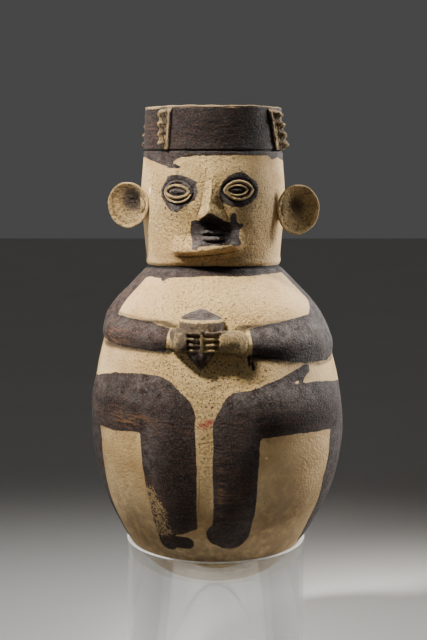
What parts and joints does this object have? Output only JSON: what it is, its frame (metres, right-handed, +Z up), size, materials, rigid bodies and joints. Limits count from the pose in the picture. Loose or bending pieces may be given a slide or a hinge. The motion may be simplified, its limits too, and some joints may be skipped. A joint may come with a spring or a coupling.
{
  "type": "figural urn",
  "caption": "Round-bodied hollow clay urn whose neck is a capped head with dished ears, its low-relief arms holding a pointed cup; it stands by its round base in an open clear tube.",
  "frame": {"origin": "bottom centre of the whole, on the surface the tube stands on", "axes": "+Z up along the urn, the face looks towards -Y, +X to the viewer's right"},
  "size_m": [0.2517, 0.2544, 0.5795],
  "materials": {
    "painted_clay": "matt gritty cream slip with brown-black painted cap, arms and legs, worn in places",
    "clear_acrylic": "clear, polished, square-cut edges"
  },
  "bodies": {
    "root": {"urn": "painted_clay", "clear_stand_tube": "clear_acrylic"}
  },
  "joints": []
}
